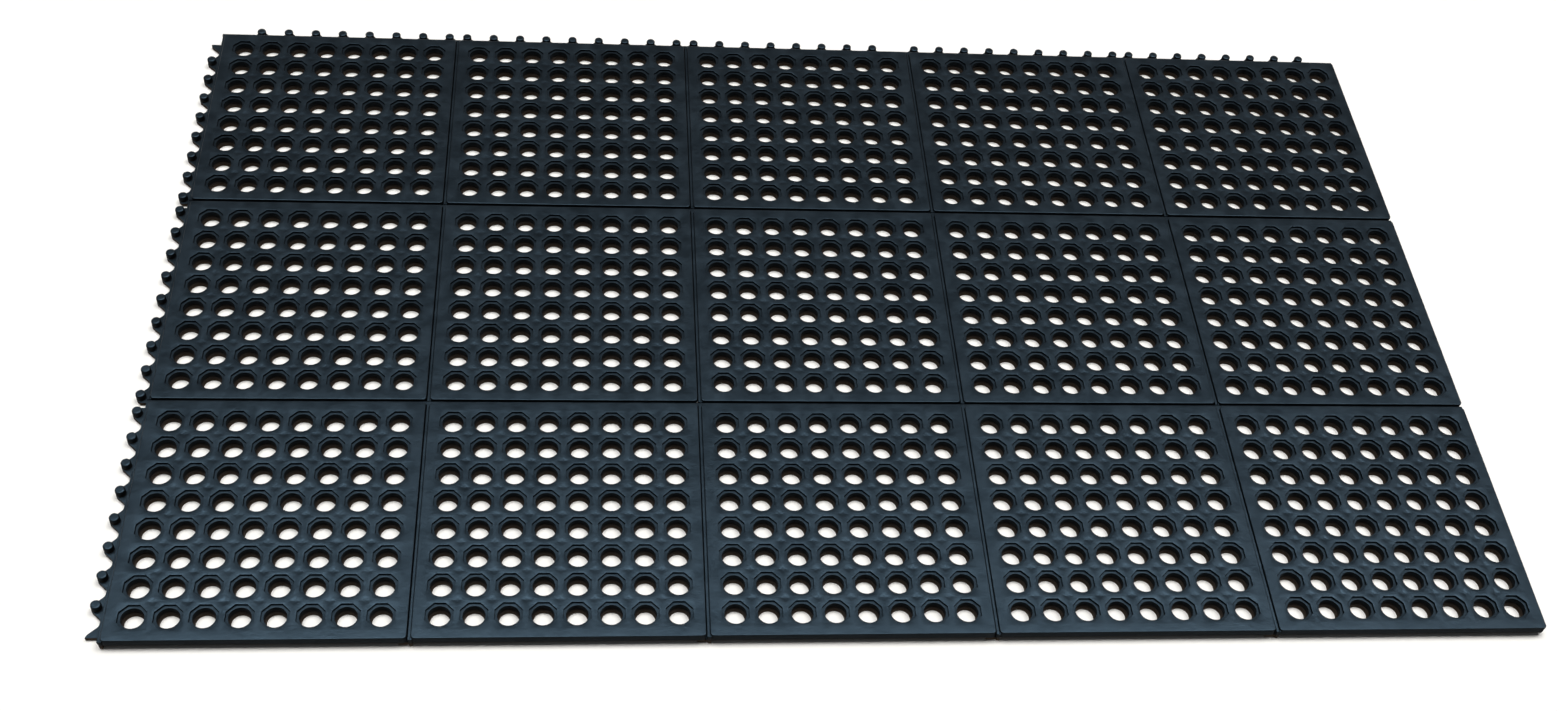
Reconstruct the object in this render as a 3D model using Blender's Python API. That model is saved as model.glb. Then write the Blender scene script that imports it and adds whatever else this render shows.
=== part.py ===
"""Interlocking drainage mat: fifteen moulded rubber tiles laid five by three.

Each tile is one moulding. Its left and back edges carry tongues that rise to a knob at
their tip. Its right and front edges are cut away underneath, so that they drop over the
tongues of the next tile and hook behind the knobs. +X runs along the five tiles, +Y to the
back, +Z up, and the origin lies on the floor under the middle of the mat.
"""

import math

import bmesh
import bpy
from mathutils import Matrix, Vector

# Driving dimensions, in metres
COLUMNS = 5
TILE_PITCH = 0.3048
SEAM = 0.004
THICKNESS = 0.0159
HOLES_PER_SIDE = 8
HOLE_PITCH = 0.0352
HOLE_DIAMETER = 0.0240
TONGUE_REACH = 0.0177
TONGUE_ROOT_HEIGHT = 0.0052
TONGUE_TIP_HEIGHT = 0.0117
TONGUE_ROOT_WIDTH = 0.018
TONGUE_TIP_WIDTH = 0.0095
LEDGE_HEIGHT = 0.0139
CLEARANCE = 0.0003
# A cutter runs past the faces that it cuts by this much
OVERRUN = 0.002
# A strip or tongue runs this far into what carries it
JOIN_DEPTH = 0.0005

ROW_NAMES = ("front", "middle", "back")
RUBBER_COLOUR = (0.030, 0.043, 0.060, 1.0)
RUBBER_ROUGHNESS = 0.55

# Tabs are counted from the front on a left edge and from the left on a back edge
FIRST_TAB = 0
LAST_TAB = HOLES_PER_SIDE
# Corner tabs that are cut off on the laid mat, by the tile's row and column
CUT_LEFT_TABS = {("front", 1): FIRST_TAB, ("back", 1): LAST_TAB}
CUT_BACK_TABS = {("back", 1): FIRST_TAB, ("back", 3): LAST_TAB, ("back", 5): LAST_TAB}

# Sizes that follow from the driving dimensions
BODY_SIDE = TILE_PITCH - SEAM
LEDGE_WIDTH = SEAM - CLEARANCE
# A square shaft with the area of the round hole
HOLE_SIDE = HOLE_DIAMETER * math.sqrt(math.pi) / 2
REBATE_DEPTH = TONGUE_REACH - SEAM + CLEARANCE


def clear_scene():
    for scene_object in list(bpy.data.objects):
        bpy.data.objects.remove(scene_object, do_unlink=True)


def rubber(name):
    material = bpy.data.materials.new(name)
    material.use_nodes = True
    shader = material.node_tree.nodes["Principled BSDF"]
    shader.inputs["Base Color"].default_value = RUBBER_COLOUR
    shader.inputs["Roughness"].default_value = RUBBER_ROUGHNESS
    shader.inputs["Metallic"].default_value = 0.0
    return material


def add_box(shape, low, high):
    """A block between two corners."""
    low = Vector(low)
    high = Vector(high)
    block = bmesh.ops.create_cube(shape, size=1.0)["verts"]
    bmesh.ops.scale(shape, vec=high - low, verts=block)
    bmesh.ops.translate(shape, vec=(low + high) / 2, verts=block)


def add_prism(shape, outline, low_y, high_y, turn):
    """An outline in X and Z, drawn out along Y from low_y to high_y and then turned."""
    ring = [shape.verts.new((x, low_y, z)) for x, z in outline]
    face = shape.faces.new(ring)
    drawn = bmesh.ops.extrude_face_region(shape, geom=[face])["geom"]
    moved = [part for part in drawn if isinstance(part, bmesh.types.BMVert)]
    bmesh.ops.translate(shape, vec=(0, high_y - low_y, 0), verts=moved)
    bmesh.ops.transform(shape, matrix=turn, verts=ring + moved)


def tongue_top(from_edge):
    """Height of a tongue's top at a distance out from the tile's edge."""
    share = (from_edge - LEDGE_WIDTH) / (TONGUE_REACH - LEDGE_WIDTH)
    return TONGUE_ROOT_HEIGHT + share * (TONGUE_TIP_HEIGHT - TONGUE_ROOT_HEIGHT)


def add_tongue(shape, along, turn):
    """A tongue out to the left of the tile, as far along the edge as it is told, then turned."""
    root = -LEDGE_WIDTH + JOIN_DEPTH
    root_height = tongue_top(-root)
    corners = []
    for out, width, top in (
        (root, TONGUE_ROOT_WIDTH, root_height),
        (-TONGUE_REACH, TONGUE_TIP_WIDTH, TONGUE_TIP_HEIGHT),
    ):
        for side in (-width / 2, width / 2):
            for height in (0.0, top):
                corners.append(shape.verts.new((out, along + side, height)))
    bmesh.ops.convex_hull(shape, input=corners)
    bmesh.ops.transform(shape, matrix=turn, verts=corners)


def hidden_object(name, shape):
    """A construction shape that isn't part of the mat."""
    bmesh.ops.recalc_face_normals(shape, faces=shape.faces)
    mesh = bpy.data.meshes.new(name)
    shape.to_mesh(mesh)
    shape.free()
    guide = bpy.data.objects.new(name, mesh)
    guide.hide_render = True
    guide.display_type = "WIRE"
    bpy.context.scene.collection.objects.link(guide)
    return guide


def tab_places():
    """Distances of the tabs along an edge: one between each two holes and one past each end."""
    first = BODY_SIDE / 2 - HOLES_PER_SIDE * HOLE_PITCH / 2
    return [first + tab * HOLE_PITCH for tab in range(HOLES_PER_SIDE + 1)]


# Leaves what is drawn on a left edge there
ON_LEFT = Matrix()
# Turns what is drawn on a left edge onto the back edge
LEFT_TO_BACK = Matrix(((0, 1, 0, 0), (-1, 0, 0, BODY_SIDE), (0, 0, 1, 0), (0, 0, 0, 1)))
# Turns what is drawn on a left edge onto the right edge
LEFT_TO_RIGHT = Matrix(((-1, 0, 0, BODY_SIDE), (0, -1, 0, BODY_SIDE), (0, 0, 1, 0), (0, 0, 0, 1)))
# Turns what is drawn on a left edge onto the front edge
LEFT_TO_FRONT = Matrix(((0, -1, 0, BODY_SIDE), (1, 0, 0, 0), (0, 0, 1, 0), (0, 0, 0, 1)))


def slab():
    shape = bmesh.new()
    add_box(shape, (0, 0, 0), (BODY_SIDE, BODY_SIDE, THICKNESS))
    return hidden_object("slab", shape)


def rebate(turn, name):
    """The space under an edge, a clearance above the tongues that it takes."""
    shape = bmesh.new()
    at_wall = tongue_top(SEAM - OVERRUN) + CLEARANCE
    at_end = tongue_top(SEAM + REBATE_DEPTH) + CLEARANCE
    outline = (
        (-OVERRUN, -OVERRUN),
        (REBATE_DEPTH, -OVERRUN),
        (REBATE_DEPTH, at_end),
        (-OVERRUN, at_wall),
    )
    add_prism(shape, outline, -OVERRUN, BODY_SIDE + OVERRUN, turn)
    return hidden_object(name, shape)


def shafts():
    """The grid of drain holes."""
    shape = bmesh.new()
    first = BODY_SIDE / 2 - (HOLES_PER_SIDE - 1) * HOLE_PITCH / 2
    for column in range(HOLES_PER_SIDE):
        for row in range(HOLES_PER_SIDE):
            x = first + column * HOLE_PITCH
            y = first + row * HOLE_PITCH
            low = (x - HOLE_SIDE / 2, y - HOLE_SIDE / 2, -OVERRUN)
            high = (x + HOLE_SIDE / 2, y + HOLE_SIDE / 2, THICKNESS + OVERRUN)
            add_box(shape, low, high)
    return hidden_object("shafts", shape)


def ledge(turn, name):
    """The low strip along an edge that closes the seam and carries the tongues."""
    shape = bmesh.new()
    outline = (
        (-LEDGE_WIDTH, 0),
        (JOIN_DEPTH, 0),
        (JOIN_DEPTH, LEDGE_HEIGHT),
        (-LEDGE_WIDTH, LEDGE_HEIGHT),
    )
    add_prism(shape, outline, 0, BODY_SIDE, turn)
    return hidden_object(name, shape)


def tongues(turn, tabs, name):
    shape = bmesh.new()
    places = tab_places()
    for tab in tabs:
        add_tongue(shape, places[tab], turn)
    return hidden_object(name, shape)


def tile_mesh(name, left_tabs, back_tabs):
    """One tile's mesh, with its front left corner at the origin."""
    body = slab()
    steps = (
        (rebate(LEFT_TO_RIGHT, "right_rebate"), "DIFFERENCE"),
        (rebate(LEFT_TO_FRONT, "front_rebate"), "DIFFERENCE"),
        (shafts(), "DIFFERENCE"),
        (ledge(ON_LEFT, "left_ledge"), "UNION"),
        (ledge(LEFT_TO_BACK, "back_ledge"), "UNION"),
        (tongues(ON_LEFT, left_tabs, "left_tongues"), "UNION"),
        (tongues(LEFT_TO_BACK, back_tabs, "back_tongues"), "UNION"),
    )
    for guide, operation in steps:
        step = body.modifiers.new(guide.name, "BOOLEAN")
        step.operation = operation
        step.object = guide
        step.solver = "EXACT"
    bpy.context.view_layer.update()
    graph = bpy.context.evaluated_depsgraph_get()
    mesh = bpy.data.meshes.new_from_object(body.evaluated_get(graph), depsgraph=graph)
    mesh.name = name
    for guide in [body] + [guide for guide, operation in steps]:
        bpy.data.objects.remove(guide, do_unlink=True)
    return mesh


def kept_tabs(row, column):
    """The tabs that a tile still has on its left and back edges."""
    left_tabs = list(range(HOLES_PER_SIDE + 1))
    back_tabs = list(range(HOLES_PER_SIDE + 1))
    if (row, column) in CUT_LEFT_TABS:
        left_tabs.remove(CUT_LEFT_TABS[(row, column)])
    # Where four tiles meet, the tongue of the tile diagonally in front takes this tab's place
    elif column > 1 and row != ROW_NAMES[0]:
        left_tabs.remove(FIRST_TAB)
    if (row, column) in CUT_BACK_TABS:
        back_tabs.remove(CUT_BACK_TABS[(row, column)])
    return tuple(left_tabs), tuple(back_tabs)


def lay_tiles():
    left = -(COLUMNS * TILE_PITCH - SEAM - TONGUE_REACH) / 2
    front = -(len(ROW_NAMES) * TILE_PITCH - SEAM + TONGUE_REACH) / 2
    meshes = {}
    for row_number, row in enumerate(ROW_NAMES):
        for column in range(1, COLUMNS + 1):
            name = f"{row}_tile_{column}"
            tabs = kept_tabs(row, column)
            if tabs not in meshes:
                meshes[tabs] = tile_mesh(name, *tabs)
            tile = bpy.data.objects.new(name, meshes[tabs].copy())
            tile.data.name = name
            tile.data.materials.clear()
            tile.data.materials.append(rubber(f"{name}_rubber"))
            tile.location = (
                left + (column - 1) * TILE_PITCH,
                front + row_number * TILE_PITCH,
                0,
            )
            bpy.context.scene.collection.objects.link(tile)


clear_scene()
lay_tiles()
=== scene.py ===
"""The looks of a drainage mat laid from fifteen interlocking rubber tiles.

One tile is modelled by hand in the middle of the floor: a sheet of drain holes in octagonal
recesses, a plain border, a low ledge along the left and back edges, tabs with knobs on those
ledges, and a hooked rebate under the right and front edges that takes the next tile's tabs. Each
tile of the mat is a copy of it with the tabs that are left on that tile.
"""

import math

import bmesh
import bpy
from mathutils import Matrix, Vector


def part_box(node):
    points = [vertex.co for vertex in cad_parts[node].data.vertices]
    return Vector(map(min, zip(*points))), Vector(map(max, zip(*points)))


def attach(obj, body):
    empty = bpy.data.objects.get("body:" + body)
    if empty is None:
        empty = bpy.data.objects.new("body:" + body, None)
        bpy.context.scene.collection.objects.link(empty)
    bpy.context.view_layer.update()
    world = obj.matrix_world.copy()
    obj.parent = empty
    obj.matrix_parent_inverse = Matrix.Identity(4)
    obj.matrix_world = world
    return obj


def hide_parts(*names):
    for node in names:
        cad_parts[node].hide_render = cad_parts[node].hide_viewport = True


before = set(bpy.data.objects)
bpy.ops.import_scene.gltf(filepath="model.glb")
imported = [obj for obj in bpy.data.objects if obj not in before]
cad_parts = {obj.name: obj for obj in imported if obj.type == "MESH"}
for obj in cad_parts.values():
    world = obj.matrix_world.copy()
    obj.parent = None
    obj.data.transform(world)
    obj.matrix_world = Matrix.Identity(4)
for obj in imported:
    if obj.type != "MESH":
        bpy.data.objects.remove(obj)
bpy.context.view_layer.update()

bl_info = {
    "name": "Interlocking rubber drainage mat",
    "version": (1, 0, 0),
    "blender": (4, 5, 0),
    "location": "3D View > Sidebar > Mat",
    "description": "Models the tiles of a drainage mat on its CAD frame and sets a studio round it",
    "category": "Object",
}

ROWS = ("front", "middle", "back")
COLUMNS = 5
HOLES_PER_SIDE = 8
TABS_PER_SIDE = HOLES_PER_SIDE + 1
BORE_SIDES = 24
OCTAGON_SIDES = 8
KNOB_SIDES = 20
# Points closer than this are the same point
NEAR = 0.00002
# Gap between pieces that come close but don't touch
SLIT = 0.0001
# Play between a tab and the rebate that takes it
PLAY = 0.0006
# How far joined pieces overlap, and how far a cutter passes the face that it cuts
JOIN = 0.0012
OVER = 0.002
# Heights of the undersides of the ledges and tabs, which don't coincide and so join cleanly
LEDGE_FOOT = 0.0001
TAB_FOOT = 0.0002
# An edge that rises more than this stands upright
UPRIGHT_RISE = 0.001
# Angles closer than this, in radians, are the same, and an edge is sharp past the other
SAME_ANGLE = 0.01
SHARP_ANGLE = 1
# A face looks along an axis past the first of these parts of its normal, and a face is a wall
# when its normal rises less than the second
FACING = 0.9
WALL_RISE = 0.5
# Edges between faces that meet at less than this many degrees are shaded smooth
SMOOTH_ANGLE = 50
# Parts of a sink mark's radius and depth that its rim takes
SINK_RIM = 0.45
SINK_FALL = 0.7

# Places that the CAD frame gives, in metres
TILE_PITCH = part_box("front_tile_2")[1].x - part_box("front_tile_1")[1].x
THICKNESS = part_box("front_tile_1")[1].z

# Tabs are counted from the front on a left edge and from the left on a back edge
FIRST_TAB = 0
LAST_TAB = TABS_PER_SIDE - 1

# Name, gloss, greatest roughness, least bloom and share of painted brown floor bounce light of the
# rubber's skins
SKINS = (
    ("moulded_nitrile_rubber", 0.57, 0.40, 0.0, 0.0),
    ("dull_nitrile_rubber_recess", 0.37, 0.42, 0.0, 0.0),
    ("matt_nitrile_rubber_wall", 0.055, 0.80, 0.012, 0.47),
)

# Size in millimetres, detail, roughness and distortion of the mottle, the grain and the scuffs.
# The real grain is too fine to show in the picture, so it is drawn at this size.
PATTERNS = ((22, 4.0, 0.6, 0.0), (1.6, 2.0, 0.5, 0.0), (14, 6.0, 0.7, 0.6))
# Where a pattern starts and ends to count, and how much it then adds
BLOOM_BAND = (0.40, 0.70)
BLOOM_SHARE = 0.016
SCUFF_BAND = (0.74, 0.82)
SCUFF_SHARE = 0.35
SHEEN_BAND = (0.3, 0.7)
SHEEN_SPAN = 0.10
# Strength and depth in metres of the unevenness and of the grain
UNEVENNESS = (0.5, 0.0010)
GRAIN_RELIEF = (0.25, 0.0002)

# The two key lights: name, lean to the right in degrees and share of the strength
KEY_LIGHTS = (("left_key", -9, 0.56), ("right_key", 19, 0.44))
KEY_TILT = -9
KEY_SPREAD = 26
SOFTBOX_PLACE = (0.4, 0.7, 2.5)
SOFTBOX_SIDES = (4.2, 0.7)
FLOOR_SIDE = 60
# The backdrop fades between these rises of a direction
BACKDROP_BAND = (0.03, 0.20)
CAMERA_PLACE = (-0.262, -1.369, 1.598)
CAMERA_TURN = (39.034, -4.961, -3.438)


def size(name, description, default):
    """A length that a user can change."""
    return bpy.props.FloatProperty(
        name=name,
        description=description,
        default=default,
        min=0.0,
        precision=5,
        subtype="DISTANCE",
        unit="LENGTH",
    )


def colour(name, description, default):
    """A colour that a user can change, given as an sRGB hex value."""
    return bpy.props.FloatVectorProperty(
        name=name,
        description=description,
        default=linear(default),
        min=0.0,
        max=1.0,
        size=4,
        subtype="COLOR",
    )


def linear(hex_value):
    """An sRGB hex value such as 2C3A4A as linear red, green, blue and alpha."""
    channels = []
    for start in (0, 2, 4):
        share = int(hex_value[start : start + 2], 16) / 255
        if share <= 0.04045:
            channels.append(share / 12.92)
        else:
            channels.append(((share + 0.055) / 1.055) ** 2.4)
    return (*channels, 1.0)


class MatTileSettings(bpy.types.PropertyGroup):
    """Sizes and colours of a tile."""

    pitch: size("Tile pitch", "Distance from one tile to the next", TILE_PITCH)
    thickness: size("Thickness", "Height of a tile above the floor", THICKNESS)
    seam: size("Seam", "Gap between the upper edges of two tiles", 0.004)
    corner: size("Corner radius", "Radius of a tile's corners in plan", 0.0042)
    edge: size("Edge rounding", "Rounding of a tile's upper edge", 0.0009)
    hole_pitch: size("Hole pitch", "Distance from one drain hole to the next", 0.0352)
    bore: size("Bore", "Diameter of a drain hole above its step", 0.0237)
    throat: size("Throat", "Diameter of a drain hole below its step", 0.0207)
    step_height: size("Step height", "Height of the step in a drain hole", 0.0050)
    step_rise: size("Step rise", "Height over which the step widens", 0.0004)
    octagon: size("Octagon", "Width of the recess round a hole, across its flats", 0.0284)
    recess: size("Recess depth", "Depth of the recess round a hole", 0.0026)
    funnel: size("Funnel", "Fall of the recess towards its hole", 0.00015)
    rim: size("Rim rounding", "Rounding at the top of a recess", 0.0003)
    dimple: size("Sink mark", "Radius of the dimple where four webs meet", 0.0060)
    dimple_depth: size("Sink mark depth", "Depth of the dimple where four webs meet", 0.00045)
    ledge_height: size("Ledge height", "Height of the strip along a left edge", 0.0134)
    back_ledge: size("Back ledge height", "Height of the strip along a back edge", 0.0132)
    ledge_width: size("Ledge width", "Width of the strip that closes a seam", 0.0032)
    ledge_round: size("Ledge rounding", "Rounding of a left ledge's front end in plan", 0.0030)
    groove: size("Groove", "Width of the groove between a left ledge and its tile", 0.0007)
    groove_depth: size("Groove depth", "Depth of the groove below the ledge", 0.0014)
    flange: size("Flange thickness", "Thickness of a tab under its knob", 0.0050)
    reach: size("Tab reach", "Distance from a tile's edge to the tip of a tab", 0.0177)
    tip: size("Tab tip", "Width of a tab at its tip, before its corners are rounded", 0.0060)
    tip_round: size("Tip rounding", "Rounding of a tab's tip in plan", 0.0026)
    hollow: size("Hollow", "Distance from a tile's edge to the hollow between two tabs", 0.0062)
    hollow_width: size("Hollow width", "Width of a hollow at its bottom", 0.0072)
    hollow_round: size("Hollow rounding", "Rounding at the bottom of a hollow", 0.0024)
    knob: size("Knob radius", "Radius of the knob on a tab", 0.0055)
    knob_top: size("Knob top", "Height of a knob above the floor", 0.0123)
    knob_round: size("Knob rounding", "Rounding of the top of a knob", 0.0017)
    soft_edge: size("Soft edge", "Rounding of the edges of the ledges and tabs", 0.0005)
    end_gap: size("End gap", "Distance of an end tab from the line of the next edge", 0.0015)
    thorn_cut: size("Thorn cut", "Distance of a half tab's straight side from its middle", 0.0002)
    lip: size("Lip width", "Width of the lip that hooks behind the knobs", 0.0020)
    # Painted brown floor bounce light reaches this high up the walls
    floor_bounce_height: size("Dust height", "Height that the dust reaches up the walls", 0.0080)
    rubber: colour("Rubber", "Colour of the moulded rubber", "0C0E10")
    # The blue of this tint is painted sky light in the rubber's reflections
    sheen: colour("Sheen", "Tint of the rubber's sheen", "AFDCFF")
    bloom: colour("Bloom", "Colour of the chalky bloom and the scuffs on the rubber", "8FA0AE")
    # Colour of the painted light bounced from the floor onto the foot of the walls
    floor_bounce_paint: colour("Dust", "Colour of the dust at the foot of the walls", "604A32")


class MatStageSettings(bpy.types.PropertyGroup):
    """The studio round the mat."""

    floor: colour("Floor", "Colour of the studio floor", "FBFBF9")
    key_tint: colour("Key tint", "Colour of the two broad lights", "FFFDFA")
    softbox_tint: colour("Softbox tint", "Colour of the softbox", "EDF7FF")
    key: bpy.props.FloatProperty(
        name="Key light",
        description="Strength of the two broad lights above and behind the mat",
        default=3.36,
        min=0.0,
    )
    softbox: bpy.props.FloatProperty(
        name="Softbox",
        description="Power of the long softbox behind the mat, which its gloss shows",
        default=4.0,
        min=0.0,
        unit="POWER",
    )
    fill: bpy.props.FloatProperty(
        name="Fill light",
        description="Strength of the light from all round",
        default=0.075,
        min=0.0,
    )
    lens: bpy.props.FloatProperty(
        name="Focal length",
        description="Focal length of the camera",
        default=40.349,
        min=1.0,
        subtype="DISTANCE_CAMERA",
    )


def deselect_all():
    bpy.ops.object.select_all(action="DESELECT")


def choose(piece):
    """Make one object the only selected one."""
    deselect_all()
    piece.select_set(True)
    bpy.context.view_layer.objects.active = piece


def edit(piece):
    choose(piece)
    bpy.ops.object.mode_set(mode="EDIT")


def leave_edit():
    bpy.ops.object.mode_set(mode="OBJECT")


def pick(kind, wanted):
    """Select only the wanted vertices, edges or faces of the mesh in edit mode."""
    bpy.ops.mesh.select_mode(type=kind)
    bpy.ops.mesh.select_all(action="DESELECT")
    mesh = bpy.context.edit_object.data
    shape = bmesh.from_edit_mesh(mesh)
    parts = {"VERT": shape.verts, "EDGE": shape.edges, "FACE": shape.faces}[kind]
    for part in parts:
        if wanted(part):
            part.select_set(True)
    shape.select_flush_mode()
    bmesh.update_edit_mesh(mesh)


def at_height(edge, height):
    return all(abs(corner.co.z - height) < NEAR for corner in edge.verts)


def is_open(edge):
    return len(edge.link_faces) < 2


def is_upright(edge):
    rise = abs(edge.verts[0].co.z - edge.verts[1].co.z)
    return rise > UPRIGHT_RISE


def round_uprights(wanted, radius):
    """Round the upright edges in edit mode whose ends are both at a wanted place."""
    pick(
        "EDGE",
        lambda edge: is_upright(edge) and all(wanted(corner.co) for corner in edge.verts),
    )
    bpy.ops.mesh.bevel(offset=radius, segments=4, affect="EDGES")


def draw_ring(rise, spread=1.0):
    """Draw the selected edges up by a distance and spread them about the middle."""
    bpy.ops.mesh.extrude_region_move(TRANSFORM_OT_translate={"value": (0, 0, rise)})
    bpy.ops.transform.resize(value=(spread, spread, 1), center_override=(0, 0, 0))


def close_gap(height):
    """Fill the flat gap between the open loops at a height."""
    pick("EDGE", lambda edge: is_open(edge) and at_height(edge, height))
    bpy.ops.mesh.fill(use_beauty=True)


def apply_modifier(piece, modifier):
    choose(piece)
    bpy.ops.object.modifier_apply(modifier=modifier.name)


def repeat(piece, count, step):
    """Repeat an object along a step and merge what meets."""
    array = piece.modifiers.new("repeat", "ARRAY")
    array.use_relative_offset = False
    array.use_constant_offset = True
    array.constant_offset_displace = step
    array.count = count
    array.use_merge_vertices = True
    array.merge_threshold = NEAR
    apply_modifier(piece, array)


def combine(piece, other, operation):
    """Cut another object from a piece or join it on, and remove the other."""
    boolean = piece.modifiers.new("combine", "BOOLEAN")
    boolean.operation = operation
    boolean.object = other
    boolean.solver = "EXACT"
    apply_modifier(piece, boolean)
    bpy.data.objects.remove(other, do_unlink=True)


def add_block(name, low, high):
    """A block between two corners, to be shaped further."""
    middle = [(a + b) / 2 for a, b in zip(low, high)]
    sides = [b - a for a, b in zip(low, high)]
    deselect_all()
    bpy.ops.mesh.primitive_cube_add(size=1, location=middle, scale=sides)
    block = bpy.context.object
    block.name = name
    bpy.ops.object.transform_apply(location=True, rotation=False, scale=True)
    return block


def body_side(sizes):
    return sizes.pitch - sizes.seam


def model_drain_hole(sizes):
    """One drain hole in its recess, open at its four sides, where the next hole's sheet joins."""
    apothem = sizes.octagon / 2
    floor = sizes.thickness - sizes.recess
    deselect_all()
    bpy.ops.mesh.primitive_circle_add(
        vertices=BORE_SIDES, radius=sizes.throat / 2, rotation=(0, 0, math.pi / BORE_SIDES)
    )
    sheet = bpy.context.object
    bpy.ops.object.transform_apply(location=False, rotation=True, scale=False)
    bpy.ops.object.mode_set(mode="EDIT")
    draw_ring(sizes.step_height)
    draw_ring(sizes.step_rise, sizes.bore / sizes.throat)
    draw_ring(floor - sizes.step_height - sizes.step_rise)
    bpy.ops.mesh.primitive_circle_add(
        vertices=OCTAGON_SIDES,
        radius=apothem / math.cos(math.pi / OCTAGON_SIDES),
        location=(0, 0, floor),
        rotation=(0, 0, math.pi / OCTAGON_SIDES),
    )
    draw_ring(sizes.recess - sizes.rim)
    draw_ring(sizes.rim, 1 + sizes.rim / apothem)
    for height in (0, sizes.thickness):
        bpy.ops.mesh.primitive_circle_add(
            vertices=4,
            radius=sizes.hole_pitch / math.sqrt(2),
            location=(0, 0, height),
            rotation=(0, 0, math.pi / 4),
        )
        # A point in the middle of each side keeps the web between two sink marks level
        bpy.ops.mesh.subdivide(number_cuts=1)
    for height in (0, floor, sizes.thickness):
        close_gap(height)

    def on_brink(corner):
        out = math.hypot(corner.co.x, corner.co.y)
        return abs(corner.co.z - floor) < NEAR and out < sizes.bore / 2 + NEAR

    pick("VERT", on_brink)
    bpy.ops.transform.translate(value=(0, 0, -sizes.funnel))
    leave_edit()
    return sheet


def model_body(sizes):
    """A tile without ledges, tabs and rebates, with the origin under its middle."""
    side = body_side(sizes)
    tile = model_drain_hole(sizes)
    first_hole = -(HOLES_PER_SIDE - 1) * sizes.hole_pitch / 2
    edit(tile)
    bpy.ops.mesh.select_all(action="SELECT")
    bpy.ops.transform.translate(value=(first_hole, first_hole, 0))
    leave_edit()
    repeat(tile, HOLES_PER_SIDE, (sizes.hole_pitch, 0, 0))
    repeat(tile, HOLES_PER_SIDE, (0, sizes.hole_pitch, 0))
    edit(tile)
    bpy.ops.mesh.primitive_plane_add(size=side, location=(0, 0, sizes.thickness))
    bpy.ops.mesh.bevel(offset=sizes.corner, segments=6, affect="VERTICES")
    bpy.ops.mesh.delete(type="ONLY_FACE")
    close_gap(sizes.thickness)
    pick("EDGE", lambda edge: is_open(edge) and at_height(edge, sizes.thickness))
    bpy.ops.mesh.extrude_region_move(
        TRANSFORM_OT_translate={"value": (0, 0, -sizes.thickness)}
    )
    close_gap(0)
    border = HOLES_PER_SIDE * sizes.hole_pitch / 2 + NEAR

    def on_outline(edge):
        out = all(max(abs(corner.co.x), abs(corner.co.y)) > border for corner in edge.verts)
        folded = abs(edge.calc_face_angle(0) - math.pi / 2) < SAME_ANGLE
        return out and folded and at_height(edge, sizes.thickness)

    pick("EDGE", on_outline)
    bpy.ops.mesh.bevel(offset=sizes.edge, segments=3, affect="EDGES")

    def at_crossing(corner):
        steps = [place / sizes.hole_pitch for place in corner.co.xy]
        on_grid = all(abs(step - round(step)) * sizes.hole_pitch < NEAR for step in steps)
        inside = max(abs(step) for step in steps) < (HOLES_PER_SIDE - 1) / 2
        return on_grid and inside and abs(corner.co.z - sizes.thickness) < NEAR

    # A sink mark falls most of its depth near its rim and the rest towards its middle
    pick("VERT", at_crossing)
    bpy.ops.mesh.bevel(offset=sizes.dimple, segments=1, affect="VERTICES")
    bpy.ops.mesh.select_mode(type="FACE")
    bpy.ops.mesh.inset(
        thickness=SINK_RIM * sizes.dimple,
        depth=-SINK_FALL * sizes.dimple_depth,
        use_individual=True,
    )
    bpy.ops.mesh.poke(offset=(SINK_FALL - 1) * sizes.dimple_depth)
    bpy.ops.mesh.select_all(action="SELECT")
    bpy.ops.mesh.normals_make_consistent(inside=False)
    leave_edit()
    return tile


def model_rebate(sizes, turn):
    """The hooked space under a right edge, turned about the tile's middle to another edge."""
    half = body_side(sizes) / 2
    depth = sizes.reach - sizes.seam + PLAY / 2
    mouth = sizes.flange + PLAY
    ceiling = sizes.knob_top + PLAY
    space = add_block(
        "rebate", (half - depth, -half - OVER, -OVER), (half + OVER, half + OVER, mouth)
    )
    edit(space)
    inner = half - sizes.lip
    for place, normal in (
        ((inner, 0, 0), (1, 0, 0)),
        ((0, inner, 0), (0, 1, 0)),
        ((0, -inner, 0), (0, 1, 0)),
    ):
        bpy.ops.mesh.select_all(action="SELECT")
        bpy.ops.mesh.bisect(plane_co=place, plane_no=normal)

    def behind_lip(face):
        middle = face.calc_center_median()
        return face.normal.z > FACING and middle.x < inner and abs(middle.y) < inner

    pick("FACE", behind_lip)
    bpy.ops.mesh.extrude_region_move(
        TRANSFORM_OT_translate={"value": (0, 0, ceiling - mouth)}
    )
    leave_edit()
    space.rotation_euler = (0, 0, turn)
    choose(space)
    bpy.ops.object.transform_apply(location=False, rotation=True, scale=False)
    return space


def model_ledges(sizes):
    """The low strips along the left and back edges."""
    half = body_side(sizes) / 2
    out = half + sizes.ledge_width
    # The back ledge all but meets the back ledge of the tile to the left
    left_end = half + sizes.seam - SLIT
    left = add_block(
        "left_ledge", (-out, -half, LEDGE_FOOT), (-half + JOIN, half, sizes.ledge_height)
    )
    back = add_block(
        "back_ledge", (-left_end, half - JOIN, LEDGE_FOOT), (half, out, sizes.back_ledge)
    )
    for strip, height, is_outer in (
        (left, sizes.ledge_height, lambda point: point.x < -out + NEAR),
        (back, sizes.back_ledge, lambda point: point.y > out - NEAR),
    ):
        edit(strip)
        pick(
            "EDGE",
            lambda edge: at_height(edge, height)
            and all(is_outer(corner.co) for corner in edge.verts),
        )
        bpy.ops.mesh.bevel(offset=sizes.soft_edge, segments=2, affect="EDGES")
        leave_edit()
    edit(left)
    round_uprights(
        lambda point: point.y < -half + NEAR and point.x < -out + NEAR, sizes.ledge_round
    )
    leave_edit()
    edit(back)
    round_uprights(lambda point: point.y > out - NEAR, sizes.ledge_round / 2)
    leave_edit()
    return left, back


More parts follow.
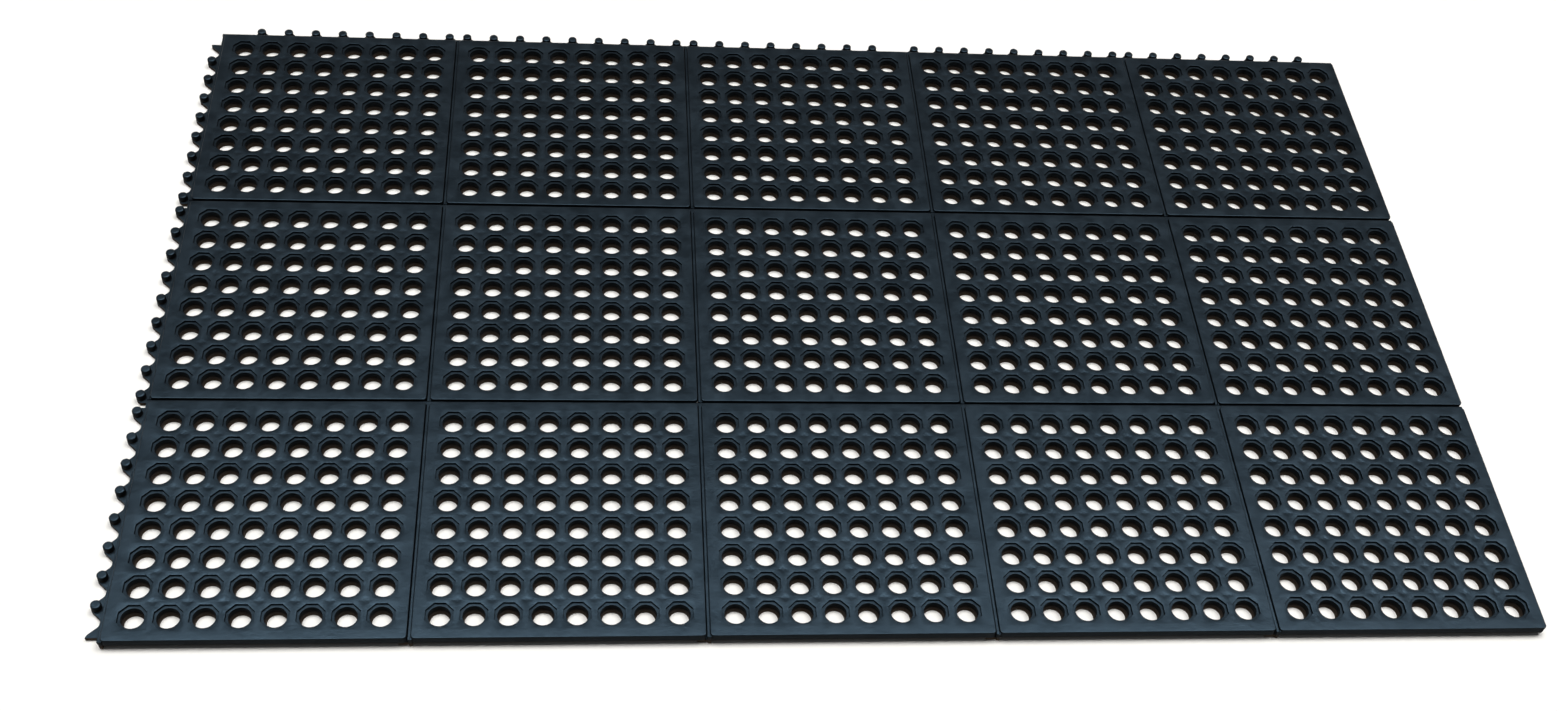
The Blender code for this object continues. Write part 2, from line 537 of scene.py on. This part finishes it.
def model_groove(sizes):
    """The space of the fine groove between the left ledge and the tile's wall."""
    half = body_side(sizes) / 2
    return add_block(
        "groove",
        (-half - sizes.groove, -half - OVER, sizes.ledge_height - sizes.groove_depth),
        (-half, half - sizes.corner, sizes.ledge_height + OVER),
    )


def model_hollow(sizes, middle):
    """The space between two tabs, which opens from a narrow round bottom to the tabs' tips."""
    bottom = sizes.hollow_width / 2
    gap = add_block(
        "hollow",
        (-sizes.reach - OVER, middle - bottom, -OVER),
        (-sizes.hollow, middle + bottom, sizes.flange + OVER),
    )
    mouth = (sizes.hole_pitch - sizes.tip) / 2
    slope = (mouth - bottom) / (sizes.reach - sizes.hollow)
    edit(gap)
    pick("FACE", lambda face: face.normal.x < -FACING)
    bpy.ops.transform.resize(
        value=(1, (mouth + OVER * slope) / bottom, 1), center_override=(0, middle, 0)
    )
    round_uprights(lambda point: point.x > -sizes.hollow - NEAR, sizes.hollow_round)
    leave_edit()
    return gap


def model_tab(sizes, knobbed):
    """One tab that points to -X from the origin, with or without its knob."""
    half_width = sizes.hole_pitch / 2
    tab = add_block(
        "tab",
        (-sizes.reach, -half_width + SLIT, TAB_FOOT),
        (JOIN, half_width - SLIT, sizes.flange),
    )
    for side in (-1, 1):
        combine(tab, model_hollow(sizes, side * half_width), "DIFFERENCE")
    edit(tab)
    round_uprights(lambda point: point.x < -sizes.reach + NEAR, sizes.tip_round)
    pick(
        "EDGE",
        lambda edge: at_height(edge, sizes.flange)
        and any(corner.co.x < -sizes.ledge_width for corner in edge.verts)
        and edge.calc_face_angle(0) > SHARP_ANGLE,
    )
    bpy.ops.mesh.bevel(offset=sizes.soft_edge, segments=1, affect="EDGES")
    leave_edit()
    if knobbed:
        combine(tab, model_knob(sizes), "UNION")
    return tab


def model_knob(sizes):
    """The round knob near a tab's tip, with its foot inside the tab."""
    deselect_all()
    bpy.ops.mesh.primitive_cylinder_add(
        vertices=KNOB_SIDES,
        radius=sizes.knob,
        depth=sizes.knob_top - JOIN,
        location=(-sizes.reach + sizes.knob + SLIT, 0, (sizes.knob_top + JOIN) / 2),
    )
    knob = bpy.context.object
    bpy.ops.object.transform_apply(location=True, rotation=False, scale=False)
    edit(knob)
    pick("EDGE", lambda edge: at_height(edge, sizes.knob_top))
    bpy.ops.mesh.bevel(offset=sizes.knob_round, segments=3, affect="EDGES")
    leave_edit()
    return knob


def copy_of(piece, name):
    """A copy with its own mesh."""
    copy = piece.copy()
    copy.data = piece.data.copy()
    copy.name = name
    copy.data.name = name
    bpy.context.scene.collection.objects.link(copy)
    return copy


def trim(piece, place, normal):
    """Cut away what lies past a plane and close the cut."""
    edit(piece)
    bpy.ops.mesh.select_all(action="SELECT")
    bpy.ops.mesh.bisect(
        plane_co=place, plane_no=normal, use_fill=True, clear_outer=True
    )
    leave_edit()


def place_tab(sizes, tab, kind, number, on_back):
    """Cut an end tab off at the tile's corner, then set a tab in its place on an edge."""
    half = body_side(sizes) / 2
    along = (number - HOLES_PER_SIDE / 2) * sizes.hole_pitch
    room = half - sizes.end_gap
    if kind == "thorn":
        inward = -math.copysign(1, along)
        trim(tab, (0, inward * sizes.thorn_cut, 0), (0, -inward, 0))
    elif number == FIRST_TAB:
        trim(tab, (0, -room - along, 0), (0, -1, 0))
    elif number == LAST_TAB:
        trim(tab, (0, room - along, 0), (0, 1, 0))
    if on_back:
        # A left tab turned onto the back edge counts the other way along it
        tab.rotation_euler = (0, 0, -math.pi / 2)
        tab.location = (along, half, 0)
    else:
        tab.location = (-half, along, 0)
    choose(tab)
    bpy.ops.object.transform_apply(location=True, rotation=True, scale=False)


def tabs_of(row, column):
    """The kinds of the tabs that a tile has on its left and back edges, by number."""
    left = {number: "knobbed" for number in range(TABS_PER_SIDE)}
    back = {number: "knobbed" for number in range(TABS_PER_SIDE)}
    if (row, column) == ("front", 1):
        left[FIRST_TAB] = "thorn"
    elif (row, column) == ("back", 1):
        left[LAST_TAB] = "thorn"
        del back[FIRST_TAB]
    elif column > 1 and row != "front":
        # Where four tiles meet, the tab of the tile diagonally in front takes this place
        del left[FIRST_TAB]
    if row == "back" and column in (3, 5):
        del back[LAST_TAB]
    return left, back


def model_tile(sizes, body, tabs, left, back):
    """A tile with the tabs that it has on its left and back edges."""
    tile = copy_of(body, "tile")
    placed = []
    for kinds, on_back in ((left, False), (back, True)):
        for number, kind in kinds.items():
            tab = copy_of(tabs[kind], "placed_tab")
            place_tab(sizes, tab, kind, number, on_back)
            placed.append(tab)
    deselect_all()
    for tab in placed:
        tab.select_set(True)
    bpy.context.view_layer.objects.active = placed[0]
    bpy.ops.object.join()
    combine(tile, placed[0], "UNION")
    edit(tile)
    bpy.ops.mesh.select_all(action="SELECT")
    bpy.ops.mesh.remove_doubles(threshold=NEAR)
    bpy.ops.mesh.normals_make_consistent(inside=False)
    leave_edit()
    choose(tile)
    bpy.ops.object.shade_smooth_by_angle(angle=math.radians(SMOOTH_ANGLE))
    weighted = tile.modifiers.new("even_normals", "WEIGHTED_NORMAL")
    weighted.keep_sharp = True
    apply_modifier(tile, weighted)
    return tile


def add_node(tree, kind, settings=(), links=()):
    """Add a node, set its properties and sockets, and link sockets of other nodes to it."""
    node = tree.nodes.new(kind)
    for name, value in dict(settings).items():
        if hasattr(node, name):
            setattr(node, name, value)
        else:
            node.inputs[name].default_value = value
    for name, source in dict(links).items():
        tree.links.new(source, node.inputs[name])
    return node


def moulded_rubber(settings, name, gloss, roughest, least_bloom, floor_bounce_share):
    """Nitrile rubber pressed in a steel mould: near black with a slight blue cast and a soft sheen,
    whose blue tint is painted sky light.

    A sheet this thick comes out of the mould a little uneven, so the sheen wavers. The mould leaves
    a fine grain, and bloom leaves a paler mottle and a few scuffs. The walls, which nothing rubs,
    keep a matt skin that hardly reflects, and their foot is painted brown as painted floor bounce
    light.
    """
    material = bpy.data.materials.new(name)
    material.use_nodes = True
    tree = material.node_tree
    shader = tree.nodes["Principled BSDF"]
    place = add_node(tree, "ShaderNodeTexCoord").outputs["Object"]
    # Pattern scales are turns per metre, so 1000 over a size in millimetres
    mottle, grain, scuffs = [
        add_node(
            tree,
            "ShaderNodeTexNoise",
            {"Scale": 1000 / width, "Detail": detail, "Roughness": fineness, "Distortion": twist},
            {"Vector": place},
        ).outputs["Fac"]
        for width, detail, fineness, twist in PATTERNS
    ]
    # The bloom, the scuffs and the roughness each follow a pattern between two values
    bloom, scuffed, sheen = [
        add_node(
            tree,
            "ShaderNodeMapRange",
            {"From Min": band[0], "From Max": band[1], "To Min": least, "To Max": most},
            {"Value": pattern},
        ).outputs["Result"]
        for pattern, band, least, most in (
            (mottle, BLOOM_BAND, least_bloom, least_bloom + BLOOM_SHARE),
            (scuffs, SCUFF_BAND, 0.0, SCUFF_SHARE),
            (mottle, SHEEN_BAND, roughest - SHEEN_SPAN, roughest),
        )
    ]
    paled = add_node(
        tree,
        "ShaderNodeMath",
        {"operation": "MAXIMUM"},
        {0: bloom, 1: scuffed},
    )
    tone = add_node(
        tree,
        "ShaderNodeMix",
        {"data_type": "RGBA"},
        {"Factor": paled.outputs["Value"]},
    )
    tone.inputs["A"].default_value = settings.rubber
    tone.inputs["B"].default_value = settings.bloom
    finished_tone = tone
    # Paint the brown of light bounced from the floor onto the foot of the walls, fading upwards
    if floor_bounce_share:
        height = add_node(tree, "ShaderNodeSeparateXYZ", {}, {"Vector": place})
        near_floor = add_node(
            tree,
            "ShaderNodeMapRange",
            {"From Min": 0.0, "From Max": settings.floor_bounce_height, "To Min": floor_bounce_share, "To Max": 0.0},
            {"Value": height.outputs["Z"]},
        )
        finished_tone = add_node(
            tree,
            "ShaderNodeMix",
            {"data_type": "RGBA"},
            {"Factor": near_floor.outputs["Result"], "A": tone.outputs["Result"]},
        )
        finished_tone.inputs["B"].default_value = settings.floor_bounce_paint
    tree.links.new(finished_tone.outputs["Result"], shader.inputs["Base Color"])
    tree.links.new(sheen, shader.inputs["Roughness"])
    strength, depth = UNEVENNESS
    unevenness = add_node(
        tree, "ShaderNodeBump", {"Strength": strength, "Distance": depth}, {"Height": mottle}
    )
    strength, depth = GRAIN_RELIEF
    relief = add_node(
        tree,
        "ShaderNodeBump",
        {"Strength": strength, "Distance": depth},
        {"Height": grain, "Normal": unevenness.outputs["Normal"]},
    )
    tree.links.new(relief.outputs["Normal"], shader.inputs["Normal"])
    shader.inputs["IOR"].default_value = 1.5
    shader.inputs["Specular IOR Level"].default_value = gloss
    # The blue tint paints the colour of sky light into the reflections
    shader.inputs["Specular Tint"].default_value = settings.sheen
    return material


def studio_floor(settings):
    """Matt white studio paper."""
    material = bpy.data.materials.new("studio_paper")
    material.use_nodes = True
    shader = material.node_tree.nodes["Principled BSDF"]
    shader.inputs["Base Color"].default_value = settings.floor
    shader.inputs["Roughness"].default_value = 0.9
    shader.inputs["Specular IOR Level"].default_value = 0.0
    return material


def finish_tile(sizes, tile, skins):
    """Give a tile its rubber, its recesses a duller skin, and its walls and steps a matt one."""
    holes_end = HOLES_PER_SIDE * sizes.hole_pitch / 2
    floor = sizes.thickness - sizes.recess
    brink = floor - sizes.funnel

    def in_holes(middle):
        return max(abs(middle.x), abs(middle.y)) < holes_end

    def is_recess(face):
        middle = face.calc_center_median()
        return in_holes(middle) and brink - NEAR < middle.z < floor + NEAR

    def is_wall(face):
        middle = face.calc_center_median()
        is_step = in_holes(middle) and NEAR < middle.z < brink - NEAR
        return abs(face.normal.z) < WALL_RISE or is_step

    tile.data.materials.clear()
    edit(tile)
    for slot, (skin, wanted) in enumerate(zip(skins, (lambda face: True, is_recess, is_wall))):
        tile.data.materials.append(skin)
        pick("FACE", wanted)
        tile.active_material_index = slot
        bpy.ops.object.material_slot_assign()
    leave_edit()


class MatLayTiles(bpy.types.Operator):
    """Model the tiles and lay them where the CAD tiles lie"""

    bl_idname = "mat.lay_tiles"
    bl_label = "Lay the tiles"

    def execute(self, context):
        sizes = context.scene.mat_tile
        half = body_side(sizes) / 2
        body = model_body(sizes)
        for turn in (0, -math.pi / 2):
            combine(body, model_rebate(sizes, turn), "DIFFERENCE")
        for strip in model_ledges(sizes):
            combine(body, strip, "UNION")
        combine(body, model_groove(sizes), "DIFFERENCE")
        tabs = {"knobbed": model_tab(sizes, True), "thorn": model_tab(sizes, False)}
        skins = [moulded_rubber(sizes, *skin) for skin in SKINS]
        patterns = {}
        for row in ROWS:
            for column in range(1, COLUMNS + 1):
                node = f"{row}_tile_{column}"
                left, back = tabs_of(row, column)
                key = (tuple(left.items()), tuple(back.items()))
                if key not in patterns:
                    patterns[key] = model_tile(sizes, body, tabs, left, back)
                    finish_tile(sizes, patterns[key], skins)
                tile = copy_of(patterns[key], f"{node}_rubber")
                low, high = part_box(node)
                tile.location = (high.x - half, low.y + half, low.z)
                choose(tile)
                bpy.ops.object.transform_apply(location=True, rotation=False, scale=False)
                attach(tile, node)
                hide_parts(node)
        for guide in [body, *tabs.values(), *patterns.values()]:
            bpy.data.objects.remove(guide, do_unlink=True)
        return {"FINISHED"}


class MatSetStage(bpy.types.Operator):
    """Set the floor, the lights and the camera"""

    bl_idname = "mat.set_stage"
    bl_label = "Set the stage"

    def execute(self, context):
        stage = context.scene.mat_stage
        deselect_all()
        bpy.ops.mesh.primitive_plane_add(size=FLOOR_SIDE, location=(0, 0, -SLIT))
        floor = context.object
        floor.name = "studio_floor"
        bpy.ops.object.transform_apply(location=True, rotation=False, scale=False)
        floor.data.materials.append(studio_floor(stage))

        # Two broad lights side by side keep the gloss of the front tiles even
        for name, lean, share in KEY_LIGHTS:
            turn = (math.radians(KEY_TILT), math.radians(lean), 0)
            bpy.ops.object.light_add(type="SUN", rotation=turn)
            key = context.object
            key.name = name
            key.data.energy = stage.key * share
            key.data.angle = math.radians(KEY_SPREAD)
            key.data.color = stage.key_tint[:3]

        bpy.ops.object.light_add(type="AREA", location=SOFTBOX_PLACE)
        softbox = context.object
        softbox.name = "softbox"
        softbox.data.shape = "RECTANGLE"
        softbox.data.size, softbox.data.size_y = SOFTBOX_SIDES
        softbox.data.energy = stage.softbox
        softbox.data.color = stage.softbox_tint[:3]

        world = bpy.data.worlds.new("studio")
        context.scene.world = world
        world.use_nodes = True
        tree = world.node_tree
        fill = tree.nodes["Background"]
        fill.inputs["Color"].default_value = (1, 1, 1, 1)
        fill.inputs["Strength"].default_value = stage.fill
        white = add_node(
            tree, "ShaderNodeBackground", {"Color": (1, 1, 1, 1), "Strength": 1.0}
        )
        path = add_node(tree, "ShaderNodeLightPath").outputs
        reflected = add_node(
            tree,
            "ShaderNodeMath",
            {"operation": "ADD", "use_clamp": True},
            {0: path["Is Glossy Ray"], 1: path["Is Transmission Ray"]},
        )
        shown = add_node(
            tree,
            "ShaderNodeMath",
            {"operation": "ADD", "use_clamp": True},
            {0: path["Is Camera Ray"], 1: reflected.outputs["Value"]},
        )
        # The white backdrop stands behind the mat, and the studio above it is dim
        direction = add_node(tree, "ShaderNodeTexCoord").outputs["Generated"]
        rise = add_node(tree, "ShaderNodeSeparateXYZ", {}, {"Vector": direction})
        low, high = BACKDROP_BAND
        backdrop = add_node(
            tree,
            "ShaderNodeMapRange",
            {"From Min": low, "From Max": high, "To Min": 1.0, "To Max": 0.0},
            {"Value": rise.outputs["Z"]},
        )
        part = add_node(
            tree,
            "ShaderNodeMath",
            {"operation": "MULTIPLY"},
            {0: shown.outputs["Value"], 1: backdrop.outputs["Result"]},
        )
        seen = add_node(
            tree,
            "ShaderNodeMixShader",
            {},
            {0: part.outputs["Value"], 1: fill.outputs[0], 2: white.outputs[0]},
        )
        tree.links.new(seen.outputs[0], tree.nodes["World Output"].inputs["Surface"])

        bpy.ops.object.camera_add(
            location=CAMERA_PLACE, rotation=[math.radians(turn) for turn in CAMERA_TURN]
        )
        camera = context.object
        camera.name = "photo_camera"
        camera.data.sensor_width = 36
        camera.data.sensor_fit = "HORIZONTAL"
        camera.data.lens = stage.lens
        context.scene.camera = camera
        context.scene.view_settings.view_transform = "Standard"
        return {"FINISHED"}


class MatPanel(bpy.types.Panel):
    """Sizes, colours and steps of the mat"""

    bl_idname = "VIEW3D_PT_rubber_mat"
    bl_label = "Rubber mat"
    bl_space_type = "VIEW_3D"
    bl_region_type = "UI"
    bl_category = "Mat"

    def draw(self, context):
        for settings in (context.scene.mat_tile, context.scene.mat_stage):
            box = self.layout.box()
            for name in settings.__annotations__:
                box.prop(settings, name)
        self.layout.operator(MatLayTiles.bl_idname)
        self.layout.operator(MatSetStage.bl_idname)


CLASSES = (MatTileSettings, MatStageSettings, MatLayTiles, MatSetStage, MatPanel)


def register():
    for item in CLASSES:
        bpy.utils.register_class(item)
    bpy.types.Scene.mat_tile = bpy.props.PointerProperty(type=MatTileSettings)
    bpy.types.Scene.mat_stage = bpy.props.PointerProperty(type=MatStageSettings)


def unregister():
    del bpy.types.Scene.mat_stage
    del bpy.types.Scene.mat_tile
    for item in reversed(CLASSES):
        bpy.utils.unregister_class(item)


def main():
    register()
    bpy.ops.mat.lay_tiles()
    bpy.ops.mat.set_stage()


if __name__ == "__main__":
    main()
